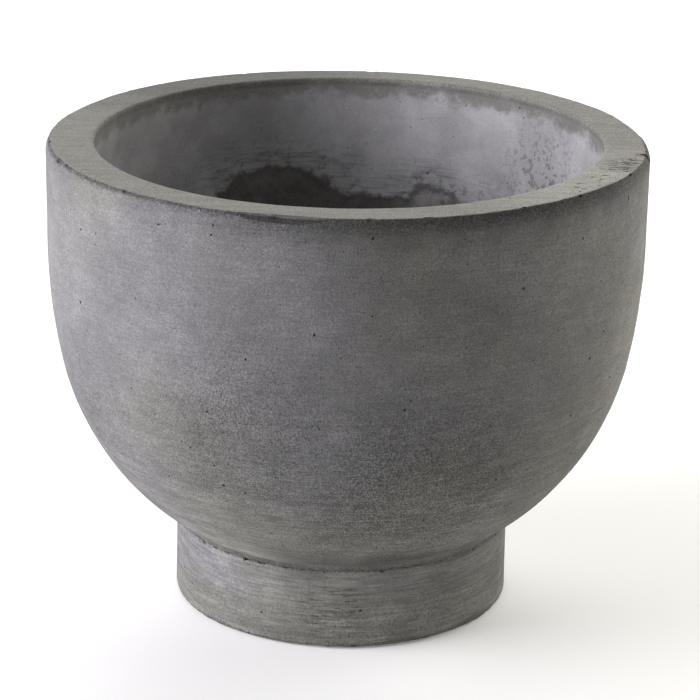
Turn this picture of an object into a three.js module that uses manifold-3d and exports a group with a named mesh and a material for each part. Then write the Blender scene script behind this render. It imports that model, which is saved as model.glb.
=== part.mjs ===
// A concrete bowl planter on a short round foot.
//
// The bowl and the foot are two castings. A thin bed of mortar bonds them, and four steel
// dowels cross the bed. The bowl's floor has a lined drain hole with a rubber stopper that
// lifts straight out, and four pads under the foot keep the concrete off the floor.
//
// Millimetres, +Z up. The origin is on the floor, on the planter's axis.

import * as THREE from 'three';
import { mergeVertices } from 'three/addons/utils/BufferGeometryUtils.js';
import Module from 'manifold-3d';

const wasm = await Module();
wasm.setup();

// ---------------------------------------------------------------- driving dimensions

// Clearance left between two pieces that seat on, or in, each other.
const SEAT_GAP = 0.3;

// Outside of the bowl.
const TOTAL_HEIGHT = 320;
const RIM_RADIUS = 200;
const SIDE_BAND_HEIGHT = 68;
const UPPER_CURVE_RADIUS = 395;
const UPPER_CURVE_SWEEP = THREE.MathUtils.degToRad(11.4);
const OUTER_ARRIS_RADIUS = 3.5;
const INNER_ARRIS_RADIUS = 1.5;

// Inside of the bowl.
const BOWL_WALL = 29;
const FLOOR_THICKNESS = 31.5;
const FLOOR_RADIUS = 94;
const DISH_MARGIN = 6;
const DISH_DEPTH = 8;

// Foot and the locating spigot under the bowl.
const FOOT_HEIGHT = 55.1;
const FOOT_TOP_RADIUS = 114.5;
const FOOT_FLARE = 0.5;
const FOOT_WALL = 30;
const FOOT_ARRIS_RADIUS = 2.5;
const SPIGOT_DEPTH = 10;
const SPIGOT_CLEARANCE = 1.5;

// Mortar bed between the two castings.
const BED_THICKNESS = 1.8;
const BED_RAKE = 1.5;

// Dowels.
const DOWEL_COUNT = 4;
const DOWEL_RADIUS = 4;
const DOWEL_INTO_BOWL = 14;
const DOWEL_INTO_FOOT = 24;
const DOWEL_CHAMFER = 0.8;

// Drain sleeve.
const SLEEVE_BORE_RADIUS = 13;
const SLEEVE_WALL = 3;
const SLEEVE_FLANGE_WIDTH = 8;
const SLEEVE_FLANGE_THICKNESS = 2;

// Drain stopper.
const PLUG_CLEARANCE = 0.4;
const PLUG_STEM_LENGTH = 15;
const PLUG_RIB_COUNT = 3;
const PLUG_RIB_HEIGHT = 1.2;
const PLUG_RIB_WIDTH = 2.4;
const PLUG_FLANGE_RADIUS = 20;
const PLUG_FLANGE_THICKNESS = 3;
const PLUG_NECK_RADIUS = 5;
const PLUG_NECK_HEIGHT = 6;
const PLUG_KNOB_RADIUS = 9;
const PLUG_KNOB_HEIGHT = 12;

// Floor pads.
const PAD_COUNT = 4;
const PAD_RADIUS = 10;
const PAD_RECESS_DEPTH = 2;
const PAD_PROUD = 1;

// Facets: steps around the axis, and steps along each curved stretch of an outline.
const CASTING_STEPS = 80;
const SMALL_STEPS = 40;
const DOWEL_STEPS = 24;
const LONG_ARC_STEPS = 9;
const SHORT_ARC_STEPS = 3;
const CUTTER_OVERRUN = 1;

// ---------------------------------------------------------------- levels worked out

const footBottomZ = PAD_PROUD;
const footTopZ = footBottomZ + FOOT_HEIGHT;
const bedBottomZ = footTopZ + SEAT_GAP;
const bedTopZ = bedBottomZ + BED_THICKNESS;
const shoulderZ = bedTopZ + SEAT_GAP;
const spigotBottomZ = shoulderZ - SPIGOT_DEPTH;
const bowlFloorZ = spigotBottomZ + FLOOR_THICKNESS;
const dishFloorZ = bowlFloorZ - DISH_DEPTH;
const sideBandZ = TOTAL_HEIGHT - SIDE_BAND_HEIGHT;

const footInnerRadius = FOOT_TOP_RADIUS - FOOT_WALL;
const footMidRadius = (FOOT_TOP_RADIUS + footInnerRadius) / 2;
const spigotRadius = footInnerRadius - SPIGOT_CLEARANCE;
const sleeveOuterRadius = SLEEVE_BORE_RADIUS + SLEEVE_WALL;
const sleeveFlangeRadius = sleeveOuterRadius + SLEEVE_FLANGE_WIDTH;
const drainHoleRadius = sleeveOuterRadius + SEAT_GAP;
const dishRadius = sleeveFlangeRadius + DISH_MARGIN;
const sleeveFlangeTopZ = dishFloorZ + SEAT_GAP + SLEEVE_FLANGE_THICKNESS;
const plugFlangeZ = sleeveFlangeTopZ + SEAT_GAP;

// ---------------------------------------------------------------- outline helpers

// A point of an outline: distance from the axis, and height.
function at(radius, height) {
  return new THREE.Vector2(radius, height);
}

// Points along a circular arc. Angles are measured from straight outwards, turning upwards.
function arc(centre, radius, fromAngle, toAngle, steps) {
  const points = [];
  for (let i = 0; i <= steps; i += 1) {
    const angle = THREE.MathUtils.lerp(fromAngle, toAngle, i / steps);
    points.push(at(centre.x + radius * Math.cos(angle), centre.y + radius * Math.sin(angle)));
  }
  return points;
}

// ---------------------------------------------------------------- solid helpers

// A closed solid from a geometry: one vertex at each corner, and no collapsed triangle.
function solidOf(geometry) {
  geometry.deleteAttribute('normal');
  geometry.deleteAttribute('uv');
  const merged = mergeVertices(geometry);
  const corners = merged.index.array;
  const kept = [];
  for (let i = 0; i < corners.length; i += 3) {
    const [a, b, c] = corners.slice(i, i + 3);
    if (a !== b && b !== c && c !== a) {
      kept.push(a, b, c);
    }
  }
  const mesh = new wasm.Mesh({
    numProp: 3,
    vertProperties: new Float32Array(merged.attributes.position.array),
    triVerts: new Uint32Array(kept),
  });
  return new wasm.Manifold(mesh);
}

// An outline turned about the planter's axis. It runs up its outer side and down its inner one.
function turned(outline, steps) {
  const geometry = new THREE.LatheGeometry(outline, steps);
  geometry.rotateX(Math.PI / 2);
  return solidOf(geometry);
}

// A ring: its outline closes on itself.
function turnedRing(outline, steps) {
  return turned([...outline, outline[0]], steps);
}

// An upright round bar between two levels, on a circle about the axis.
function uprightBar(radius, bottomZ, topZ, circleRadius, angle, steps) {
  const geometry = new THREE.CylinderGeometry(radius, radius, topZ - bottomZ, steps);
  geometry.rotateX(Math.PI / 2);
  geometry.translate(circleRadius, 0, (bottomZ + topZ) / 2);
  geometry.rotateZ(angle);
  return solidOf(geometry);
}

// A named mesh in its own material.
function piece(name, solid, look) {
  const cut = solid.getMesh();
  const geometry = new THREE.BufferGeometry();
  geometry.setAttribute('position', new THREE.BufferAttribute(cut.vertProperties, cut.numProp));
  geometry.setIndex(new THREE.BufferAttribute(cut.triVerts, 1));
  geometry.computeVertexNormals();
  const mesh = new THREE.Mesh(geometry, new THREE.MeshStandardMaterial(look));
  mesh.name = name;
  return mesh;
}

// ---------------------------------------------------------------- where the repeats stand

const dowelAngles = [];
for (let i = 0; i < DOWEL_COUNT; i += 1) {
  dowelAngles.push((i * 2 * Math.PI) / DOWEL_COUNT);
}

// The pads stand midway between the dowels, so no recess runs under a dowel's hole.
const padAngles = [];
for (let i = 0; i < PAD_COUNT; i += 1) {
  padAngles.push(((i + 0.5) * 2 * Math.PI) / PAD_COUNT);
}

// Takes a round blind hole for each dowel out of a casting, or a through hole out of the bed.
function withoutDowelHoles(solid, bottomZ, topZ) {
  let drilled = solid;
  for (const angle of dowelAngles) {
    const holeRadius = DOWEL_RADIUS + SEAT_GAP;
    const hole = uprightBar(holeRadius, bottomZ, topZ, footMidRadius, angle, DOWEL_STEPS);
    drilled = drilled.subtract(hole);
  }
  return drilled;
}

// ---------------------------------------------------------------- bowl

// The bowl's side is a straight band, then a slow curve, then a tighter one. They meet without
// a corner. Inside, the band and the slow curve are moved in by the wall.
const upperCentre = at(RIM_RADIUS - UPPER_CURVE_RADIUS, sideBandZ);
// The way from that centre to the point where the slow curve ends.
const endWay = at(Math.cos(UPPER_CURVE_SWEEP), -Math.sin(UPPER_CURVE_SWEEP));

// The slow curve, downwards, on the outside or the inside of the wall.
function upperCurve(radius) {
  return arc(upperCentre, radius, 0, -UPPER_CURVE_SWEEP, SHORT_ARC_STEPS);
}

// The tight curve, downwards: the one arc that leaves the slow curve without a corner and
// reaches the stated point, which is the edge of the foot or the edge of the bowl's floor.
function lowerCurve(upperRadius, end) {
  const start = upperCentre.clone().addScaledVector(endWay, upperRadius);
  const span = start.clone().sub(end);
  const radius = span.lengthSq() / (2 * span.dot(endWay));
  const centre = start.clone().addScaledVector(endWay, -radius);
  const endAngle = Math.atan2(end.y - centre.y, end.x - centre.x);
  return arc(centre, radius, -UPPER_CURVE_SWEEP, endAngle, LONG_ARC_STEPS).slice(1);
}

function bowlOutline() {
  const mouthRadius = RIM_RADIUS - BOWL_WALL;
  const innerUpperRadius = UPPER_CURVE_RADIUS - BOWL_WALL;
  const footEdge = at(FOOT_TOP_RADIUS, shoulderZ);
  const floorEdge = at(FLOOR_RADIUS, bowlFloorZ);
  const outerArrisCentre = at(RIM_RADIUS - OUTER_ARRIS_RADIUS, TOTAL_HEIGHT - OUTER_ARRIS_RADIUS);
  const innerArrisCentre = at(mouthRadius + INNER_ARRIS_RADIUS, TOTAL_HEIGHT - INNER_ARRIS_RADIUS);
  const outside = [...upperCurve(UPPER_CURVE_RADIUS), ...lowerCurve(UPPER_CURVE_RADIUS, footEdge)];
  const inside = [...upperCurve(innerUpperRadius), ...lowerCurve(innerUpperRadius, floorEdge)];
  return [
    at(drainHoleRadius, spigotBottomZ),
    at(spigotRadius, spigotBottomZ),
    at(spigotRadius, shoulderZ),
    ...outside.reverse(),
    ...arc(outerArrisCentre, OUTER_ARRIS_RADIUS, 0, Math.PI / 2, SHORT_ARC_STEPS),
    ...arc(innerArrisCentre, INNER_ARRIS_RADIUS, Math.PI / 2, Math.PI, SHORT_ARC_STEPS),
    ...inside,
    at(dishRadius, bowlFloorZ),
    at(dishRadius, dishFloorZ),
    at(drainHoleRadius, dishFloorZ),
  ];
}

function bowl() {
  const casting = turnedRing(bowlOutline(), CASTING_STEPS);
  const holeTopZ = shoulderZ + DOWEL_INTO_BOWL + SEAT_GAP;
  return withoutDowelHoles(casting, shoulderZ - CUTTER_OVERRUN, holeTopZ);
}

// ---------------------------------------------------------------- foot and mortar bed

function foot() {
  const bottomRadius = FOOT_TOP_RADIUS + FOOT_FLARE;
  const arrisCentre = at(bottomRadius - FOOT_ARRIS_RADIUS, footBottomZ + FOOT_ARRIS_RADIUS);
  const outline = [
    at(footInnerRadius, footBottomZ),
    ...arc(arrisCentre, FOOT_ARRIS_RADIUS, -Math.PI / 2, 0, SHORT_ARC_STEPS),
    at(FOOT_TOP_RADIUS, footTopZ),
    at(footInnerRadius, footTopZ),
  ];
  let casting = turnedRing(outline, CASTING_STEPS);
  const holeBottomZ = footTopZ - DOWEL_INTO_FOOT - SEAT_GAP;
  casting = withoutDowelHoles(casting, holeBottomZ, footTopZ + CUTTER_OVERRUN);
  for (const angle of padAngles) {
    const recessRadius = PAD_RADIUS + SEAT_GAP;
    const bottomZ = footBottomZ - CUTTER_OVERRUN;
    const topZ = footBottomZ + PAD_RECESS_DEPTH;
    const recess = uprightBar(recessRadius, bottomZ, topZ, footMidRadius, angle, SMALL_STEPS);
    casting = casting.subtract(recess);
  }
  return casting;
}

function mortarBed() {
  const innerRadius = spigotRadius + SEAT_GAP;
  const outerRadius = FOOT_TOP_RADIUS - BED_RAKE;
  const outline = [
    at(innerRadius, bedBottomZ),
    at(outerRadius, bedBottomZ),
    at(outerRadius, bedTopZ),
    at(innerRadius, bedTopZ),
  ];
  const bed = turnedRing(outline, CASTING_STEPS);
  return withoutDowelHoles(bed, bedBottomZ - CUTTER_OVERRUN, bedTopZ + CUTTER_OVERRUN);
}

// ---------------------------------------------------------------- dowels and pads

// A cut length of round bar with both ends chamfered, modelled on the planter's axis.
function dowel() {
  const bottomZ = footTopZ - DOWEL_INTO_FOOT;
  const topZ = shoulderZ + DOWEL_INTO_BOWL;
  const endRadius = DOWEL_RADIUS - DOWEL_CHAMFER;
  const outline = [
    at(0, bottomZ),
    at(endRadius, bottomZ),
    at(DOWEL_RADIUS, bottomZ + DOWEL_CHAMFER),
    at(DOWEL_RADIUS, topZ - DOWEL_CHAMFER),
    at(endRadius, topZ),
    at(0, topZ),
  ];
  return turned(outline, DOWEL_STEPS);
}

// A round pad that stands proud of the foot's underside, modelled on the planter's axis.
function floorPad() {
  const topZ = footBottomZ + PAD_RECESS_DEPTH - SEAT_GAP;
  const outline = [at(0, 0), at(PAD_RADIUS, 0), at(PAD_RADIUS, topZ), at(0, topZ)];
  return turned(outline, SMALL_STEPS);
}

// ---------------------------------------------------------------- drain sleeve and stopper

// The sleeve hangs by its flange in the dish of the bowl's floor.
function drainSleeve() {
  const flangeBottomZ = dishFloorZ + SEAT_GAP;
  const outline = [
    at(SLEEVE_BORE_RADIUS, spigotBottomZ),
    at(sleeveOuterRadius, spigotBottomZ),
    at(sleeveOuterRadius, flangeBottomZ),
    at(sleeveFlangeRadius, flangeBottomZ),
    at(sleeveFlangeRadius, sleeveFlangeTopZ),
    at(SLEEVE_BORE_RADIUS, sleeveFlangeTopZ),
  ];
  return turnedRing(outline, SMALL_STEPS);
}

// One sealing rib of the stopper, up its outer side.
function plugRib(middleZ, stemRadius) {
  const ribRadius = stemRadius + PLUG_RIB_HEIGHT;
  return [
    at(stemRadius, middleZ - PLUG_RIB_WIDTH / 2),
    at(ribRadius, middleZ - PLUG_RIB_WIDTH / 4),
    at(ribRadius, middleZ + PLUG_RIB_WIDTH / 4),
    at(stemRadius, middleZ + PLUG_RIB_WIDTH / 2),
  ];
}

// The stopper: a ribbed stem inside the sleeve, a flange on the sleeve's flange, and a knob.
function drainPlug() {
  const stemRadius = SLEEVE_BORE_RADIUS - PLUG_CLEARANCE - PLUG_RIB_HEIGHT;
  const stemBottomZ = plugFlangeZ - PLUG_STEM_LENGTH;
  const flangeTopZ = plugFlangeZ + PLUG_FLANGE_THICKNESS;
  const knobMiddleZ = flangeTopZ + PLUG_NECK_HEIGHT + PLUG_KNOB_HEIGHT / 2;
  const outline = [at(0, stemBottomZ), at(stemRadius - PLUG_RIB_HEIGHT, stemBottomZ)];
  for (let i = 0; i < PLUG_RIB_COUNT; i += 1) {
    const middleZ = stemBottomZ + (PLUG_STEM_LENGTH * (i + 0.5)) / PLUG_RIB_COUNT;
    outline.push(...plugRib(middleZ, stemRadius));
  }
  outline.push(at(stemRadius, plugFlangeZ));
  outline.push(at(PLUG_FLANGE_RADIUS, plugFlangeZ));
  outline.push(at(PLUG_FLANGE_RADIUS, flangeTopZ));
  outline.push(at(PLUG_NECK_RADIUS, flangeTopZ));
  outline.push(at(PLUG_NECK_RADIUS, flangeTopZ + PLUG_NECK_HEIGHT));
  const knobStart = -Math.acos(PLUG_NECK_RADIUS / PLUG_KNOB_RADIUS);
  for (const point of arc(at(0, 0), 1, knobStart, Math.PI / 2, LONG_ARC_STEPS)) {
    const heightShare = (PLUG_KNOB_HEIGHT / 2) * point.y;
    outline.push(at(PLUG_KNOB_RADIUS * point.x, knobMiddleZ + heightShare));
  }
  return turned(outline, SMALL_STEPS);
}

// ---------------------------------------------------------------- the planter

const concrete = { color: 0x8e8c8c, roughness: 0.9, metalness: 0 };
const mortar = { color: 0x6c6a67, roughness: 0.95, metalness: 0 };
const steel = { color: 0x9a9c9e, roughness: 0.45, metalness: 0.9 };
const plastic = { color: 0x3c3f41, roughness: 0.55, metalness: 0 };
const rubber = { color: 0x262627, roughness: 0.8, metalness: 0 };

const planter = new THREE.Group();
planter.add(piece('bowl', bowl(), concrete));
planter.add(piece('foot', foot(), concrete));
planter.add(piece('mortar_bed', mortarBed(), mortar));
planter.add(piece('drain_sleeve', drainSleeve(), plastic));
planter.add(piece('drain_plug', drainPlug(), rubber));

// Places a copy of a piece that was modelled on the axis at each angle around the foot's wall.
function addAround(name, makeSolid, look, angles) {
  for (const [i, angle] of angles.entries()) {
    const copy = piece(`${name}_${i + 1}`, makeSolid(), look);
    copy.position.set(footMidRadius * Math.cos(angle), footMidRadius * Math.sin(angle), 0);
    copy.rotation.z = angle;
    planter.add(copy);
  }
}

addAround('dowel', dowel, steel, dowelAngles);
addAround('floor_pad', floorPad, rubber, padAngles);

export default planter;
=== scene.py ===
# %% [markdown]
# # A concrete bowl planter
#
# The real planter is two castings: a deep round bowl with a thick flat rim, and a short round
# foot. Mortar bonds them, and the bowl's floor has a drain with a rubber stopper. This lesson
# dresses the plain solids of the frame: it turns each casting from its outline, breaks its
# edges, opens its air holes, and gives every piece a finish made of nodes.
#
# Everything is in metres and in the frame's own place, so a piece is never moved afterwards.

# %% Load the frame
import math
import random

import bmesh
import bpy
from mathutils import Matrix, Vector


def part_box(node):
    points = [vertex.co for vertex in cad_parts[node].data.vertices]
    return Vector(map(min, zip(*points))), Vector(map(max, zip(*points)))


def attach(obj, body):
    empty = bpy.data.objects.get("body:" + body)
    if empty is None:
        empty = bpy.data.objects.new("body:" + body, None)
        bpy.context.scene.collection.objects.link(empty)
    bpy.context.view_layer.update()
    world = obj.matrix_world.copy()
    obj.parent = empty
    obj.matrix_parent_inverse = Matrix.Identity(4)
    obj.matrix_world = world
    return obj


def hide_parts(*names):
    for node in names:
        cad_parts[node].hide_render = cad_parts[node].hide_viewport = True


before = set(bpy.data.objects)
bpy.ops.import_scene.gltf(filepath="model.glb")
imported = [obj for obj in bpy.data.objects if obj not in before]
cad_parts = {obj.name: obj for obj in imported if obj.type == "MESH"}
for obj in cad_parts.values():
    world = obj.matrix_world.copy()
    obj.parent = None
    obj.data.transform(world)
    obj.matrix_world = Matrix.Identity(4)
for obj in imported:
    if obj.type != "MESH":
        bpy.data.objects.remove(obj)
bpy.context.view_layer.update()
print("nodes in the frame:", ", ".join(sorted(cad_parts)))

# %% [markdown]
# ## Sizes
#
# The frame's own boxes give every size that shows from outside. The few that a box can't tell,
# such as the wall and the radii of the side's curves, are written once here.

# %% Sizes of the planter
MM = 0.001

bowl_low, bowl_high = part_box("bowl")
foot_low, foot_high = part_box("foot")
bed_low, bed_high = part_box("mortar_bed")
sleeve_low, sleeve_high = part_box("drain_sleeve")
plug_low, plug_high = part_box("drain_plug")
pad_low, pad_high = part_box("floor_pad_1")
dowel_low, dowel_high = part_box("dowel_1")

RIM_RADIUS = bowl_high.x
RIM_TOP = bowl_high.z
BOWL_WALL = 29 * MM
SIDE_BAND_HEIGHT = 68 * MM
SLOW_CURVE_RADIUS = 395 * MM
SLOW_CURVE_SWEEP = math.radians(11.4)
ARRIS_WIDTH = 3.0 * MM
ARRIS_HEIGHT = 6.5 * MM
INNER_ARRIS_RADIUS = 1.5 * MM
SEAT_GAP = 0.3 * MM

SHOULDER_Z = bed_high.z + SEAT_GAP
SPIGOT_RADIUS = 83 * MM
SPIGOT_BOTTOM_Z = bowl_low.z
FLOOR_Z = SPIGOT_BOTTOM_Z + 31.5 * MM
FLOOR_RADIUS = 94 * MM
DISH_RADIUS = 30 * MM
DISH_Z = FLOOR_Z - 8 * MM
DRAIN_HOLE_RADIUS = sleeve_high.x - 8 * MM + SEAT_GAP

FOOT_BOTTOM_RADIUS = foot_high.x
FOOT_TOP_RADIUS = 114.5 * MM
FOOT_INNER_RADIUS = 84.5 * MM
FOOT_ARRIS_RADIUS = 2.5 * MM
FOOT_MIDDLE_RADIUS = (FOOT_TOP_RADIUS + FOOT_INNER_RADIUS) / 2
print(f"rim {RIM_RADIUS * 2:.3f} m across, {RIM_TOP:.3f} m high, wall {BOWL_WALL:.3f} m")

# %% [markdown]
# ## Camera
#
# The view was found by matching the rim's ellipse, the width of the foot and the total height.
# It is a long lens, about a metre and three quarters away and a little above the rim.

# %% Camera
CAMERA_PLACE = (0, -1.6837, 0.7482)
CAMERA_TURN = -0.0023
CAMERA_DOWN = 0.3307
CAMERA_ROLL = 0.0186
SENSOR_WIDTH = 36
IMAGE_WIDTH = 700
FOCAL_LENGTH = 2605.1 / IMAGE_WIDTH * SENSOR_WIDTH


def placed(name, data):
    """An object in the scene for a camera, a light or a mesh."""
    made = bpy.data.objects.new(name, data)
    bpy.context.scene.collection.objects.link(made)
    return made


camera_data = bpy.data.cameras.new("camera")
camera_data.sensor_width = SENSOR_WIDTH
camera_data.lens = FOCAL_LENGTH
camera_data.clip_end = 50
camera = placed("camera", camera_data)
camera.matrix_world = (
    Matrix.Translation(CAMERA_PLACE)
    @ Matrix.Rotation(CAMERA_TURN, 4, "Z")
    @ Matrix.Rotation(math.pi / 2 - CAMERA_DOWN, 4, "X")
    @ Matrix.Rotation(CAMERA_ROLL, 4, "Z")
)
bpy.context.scene.camera = camera
bpy.context.scene.view_settings.view_transform = "Standard"

# %% [markdown]
# ## Writing node trees by hand
#
# Finishes and Geometry Nodes are both graphs of nodes. A few small helpers keep them readable:
# `node` makes one node and fills its inputs, with a value or with another node's output, `output`
# gives the first output of a new node, and the others are nodes that both kinds of tree have.

# %% Helpers for node trees
def fill(tree, socket, value):
    """Gives an input a value, or links it to another node's output."""
    if isinstance(value, bpy.types.NodeSocket):
        tree.links.new(value, socket)
    else:
        socket.default_value = value


def node(tree, kind, inputs=None, **settings):
    made = tree.nodes.new(kind)
    for setting, value in settings.items():
        setattr(made, setting, value)
    for key, value in (inputs or {}).items():
        fill(tree, made.inputs[key], value)
    return made


def output(tree, kind, inputs=None, **settings):
    return node(tree, kind, inputs, **settings).outputs[0]


def maths(tree, operation, first, second=0.0, third=0.0):
    inputs = {0: first, 1: second, 2: third}
    return output(tree, "ShaderNodeMath", inputs, operation=operation)


def times(tree, first, second):
    return maths(tree, "MULTIPLY", first, second)


def times_plus(tree, first, second, third):
    return maths(tree, "MULTIPLY_ADD", first, second, third)


def remap(tree, value, from_low, from_high, to_low=0.0, to_high=1.0):
    """Carries a value from one range to another, held at both ends and eased between."""
    inputs = {0: value, 1: from_low, 2: from_high, 3: to_low, 4: to_high}
    return output(tree, "ShaderNodeMapRange", inputs, interpolation_type="SMOOTHSTEP")


def noise(tree, place, per_metre, detail=2.0, roughness=0.5, seed=0.0):
    """Smooth noise, mostly between 0.3 and 0.7, with that many lumps in a metre."""
    inputs = {"Vector": place, "W": seed, "Scale": per_metre}
    inputs.update({"Detail": detail, "Roughness": roughness})
    return output(tree, "ShaderNodeTexNoise", inputs, noise_dimensions="4D")


def vector_maths(tree, operation, first, second):
    inputs = {0: first}
    inputs["Scale" if operation == "SCALE" else 1] = second
    return output(tree, "ShaderNodeVectorMath", inputs, operation=operation)


def measured(tree, operation, first, second=(0, 0, 0)):
    """A distance, a length or a dot product: one number from vectors."""
    made = node(tree, "ShaderNodeVectorMath", {0: first, 1: second}, operation=operation)
    return made.outputs["Value"]


# %% [markdown]
# ## Cast concrete
#
# The planter's concrete is a fine cement skin, not paint. Its colour drifts between a cool
# lavender grey and a warm grey in clouds as wide as a hand, with a finer mottle in them. Fine
# horizontal streaks come from the mould and the float, and are strongest low on the bowl and on
# the foot. Sand shows as a grain of about a millimetre, and small air holes are left where
# bubbles met the mould. The finish also holds painted light and shade: painted light on the
# bowl's right side, low on its left and on the right of its inside, and painted shade in the
# crease above the foot and inside air holes and chips. An image could hold this, but a graph of
# noises has no seam and no limit of sharpness, and it can read numbers that the mesh carries:
# how worn a point is, whether it is on the rim or the inside, and how much painted shade a cut
# face gets.

# %% Colour helpers
COOL_GREY = (0.197, 0.194, 0.2035)
WARM_GREY = (0.205, 0.2025, 0.184)
RIM_GREY = (0.260, 0.2575, 0.2375)
INSIDE_PALE = (0.370, 0.367, 0.386)
INSIDE_BROWN = (0.185, 0.174, 0.163)
WET_STAIN = (0.128, 0.126, 0.121)
DRIED_STAIN = (0.270, 0.266, 0.270)
DEEP_STAIN = (0.215, 0.211, 0.203)
TIDE_LINE = (0.098, 0.095, 0.091)
FOOT_PALER = (1.08, 1.08, 1.08)
# Painted shade for the inside of air holes, pits and chips.
PIT_SHADE = (0.034, 0.033, 0.032)


def blended(tree, amount, first, second, mode="MIX"):
    """From the first colour to the second, or the first multiplied by the second."""
    mixed = node(tree, "ShaderNodeMix", {0: amount}, data_type="RGBA", blend_type=mode)
    for socket, colour in ((mixed.inputs[6], first), (mixed.inputs[7], second)):
        fill(tree, socket, (*colour, 1) if isinstance(colour, tuple) else colour)
    return mixed.outputs[2]


def marked(tree, name):
    """A number that the mesh carries under that name."""
    return node(tree, "ShaderNodeAttribute", attribute_name=name).outputs["Fac"]


def new_finish(name):
    """An empty material, with its tree, its surface shader and the place on the piece."""
    material = bpy.data.materials.new(name)
    material.use_nodes = True
    tree = material.node_tree
    surface = tree.nodes["Principled BSDF"]
    place = tree.nodes.new("ShaderNodeTexCoord").outputs["Object"]
    return material, tree, surface, place


def raise_surface(tree, surface, height, distance, strength=1.0):
    """Tilts the light on a surface as if the height, from 0 to 1, were that many metres."""
    inputs = {"Height": height, "Distance": distance, "Strength": strength}
    tree.links.new(output(tree, "ShaderNodeBump", inputs), surface.inputs["Normal"])


# %% Where the marks of use and of casting lie
# A mark is a point on the surface, how far from it the mark reaches, and the two factors that
# it multiplies the colour by, where the pattern inside it is 0 and where it is 1.
BRUISE = ((0.160, -0.102, 0.178), 0.014, 0.66, 0.90)
# Painted light: the right side of the bowl made lighter, where light from the right falls on it.
LIT_RIGHT_SIDE = ((0.199, -0.017, 0.260), 0.160, 1.20, 1.34)
# Painted light low on the left, on the bowl's underside just above the foot.
LIT_UNDERSIDE = ((-0.075, -0.090, 0.055), 0.065, 1.42, 1.58)
# Painted shade in the crease just above the foot, strongest at the front.
SHADED_CREASE = ((0.043, -0.118, 0.067), 0.095, 0.50, 0.62)
# The rim top darker towards the back left, and lighter towards the front right.
RIM_DARKER_BACK = ((-0.093, 0.161, 0.320), 0.165, 0.54, 0.62)
RIM_LIGHTER_FRONT = ((0.152, -0.107, 0.320), 0.120, 1.32, 1.42)
# Painted light low on the left, on the foot's top edge.
LIT_FOOT_TOP = ((-0.075, -0.090, 0.055), 0.065, 1.08, 1.16)
PALE_FOOT = ((0.012, -0.114, 0.030), 0.062, 1.12, 1.24)
FOOT_SCUFFS = ((-0.006, -0.115, 0.030), 0.032, 0.36, 0.54)
SPLASHES = ((0.135, 0.092, 0.263), 0.062, 0.45, 0.60)

# These have only a point and a reach.
COOL_PATCH = ((-0.075, -0.185, 0.265), 0.130)
TORN_RIM = ((0.174, -0.062, 0.320), 0.027)
DRIED_ARCH = ((0.062, 0.150, 0.232), 0.034)

# Where the mix was drier: a point, a reach, and how dry it was there.
DRY_PATCHES = [((0.045, -0.168, 0.124), 0.108, 1.0), ((-0.060, -0.177, 0.166), 0.088, 0.6)]
DRY_PATCHES.append(((-0.160, -0.092, 0.158), 0.070, 0.45))

# The level that water stood at, and the arches in its line: middle, half width and height.
TIDE_LEVEL = 0.233
TIDE_ARCHES = [((-0.048, 0.148, 0.230), 0.048, 0.027), ((0.058, 0.148, 0.230), 0.022, 0.015)]

# %% Patterns in the finishes
# Lumps in a metre, detail, roughness and seed of a noise, and its levels that become 0 and 1.
NOISES = {
    "clouds": (7, 3, 0.55, 0.0, 0.38, 0.64),
    "pore patches": (10, 3, 0.6, 31.0, 0.38, 0.62),
    "blotches": (13, 3, 0.6, 27.0, 0.32, 0.68),
    "inside patches": (24, 4, 0.6, 17.0, 0.35, 0.65),
    "lip patches": (34, 3, 0.6, 45.0, 0.40, 0.60),
    "mottle": (42, 4, 0.6, 5.0, 0.30, 0.70),
    "inside spots": (150, 3, 0.6, 23.0, 0.55, 0.62),
    "inside specks": (240, 3, 0.6, 47.0, 0.53, 0.60),
    "grit": (430, 3, 0.6, 37.0, 0.34, 0.66),
    "flecks": (700, 2, 0.6, 35.0, 0.60, 0.70),
    "speckle": (760, 3, 0.7, 9.0, 0.36, 0.64),
    "pores": (780, 2, 0.6, 29.0, 0.53, 0.63),
    "sand": (1250, 2, 0.65, 7.0, 0.32, 0.68),
    "mortar lumps": (160, 4, 0.65, 0.0, 0.30, 0.70),
    "mortar sand": (900, 3, 0.65, 4.0, 0.32, 0.68),
    "dust": (90, 4, 0.6, 0.0, 0.45, 0.75),
    "bloom": (120, 4, 0.6, 0.0, 0.42, 0.72),
    "rust": (140, 4, 0.65, 8.0, 0.56, 0.72),
}
# Lumps in a metre along X, Y and Z, the seed, and the levels that become 0 and 1.
STREAKS = {
    "smudges": ((95.0, 95.0, 190.0), 39.0, 0.34, 0.66),
    "fine streaks": ((40.0, 40.0, 620.0), 3.0, 0.34, 0.66),
    "wide streaks": ((9.0, 9.0, 170.0), 19.0, 0.34, 0.66),
    "thin lines": ((42.0, 42.0, 420.0), 51.0, 0.34, 0.66),
    "scuffs": ((90.0, 90.0, 850.0), 41.0, 0.34, 0.66),
    "brushed": ((14.0, 330.0, 14.0), 33.0, 0.34, 0.66),
    "folds": ((150.0, 620.0, 150.0), 43.0, 0.36, 0.64),
    "drawn": ((1600.0, 1600.0, 30.0), 0.0, 0.30, 0.70),
}


def pattern(tree, place, name, low=0.0, high=1.0):
    """One of the patterns above, from low to high."""
    if name in STREAKS:
        stretch, seed, from_low, from_high = STREAKS[name]
        made = noise(tree, vector_maths(tree, "MULTIPLY", place, stretch), 1, 3, 0.6, seed)
    else:
        per_metre, detail, roughness, seed, from_low, from_high = NOISES[name]
        made = noise(tree, place, per_metre, detail, roughness, seed)
    return remap(tree, made, from_low, from_high, low, high)


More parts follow.
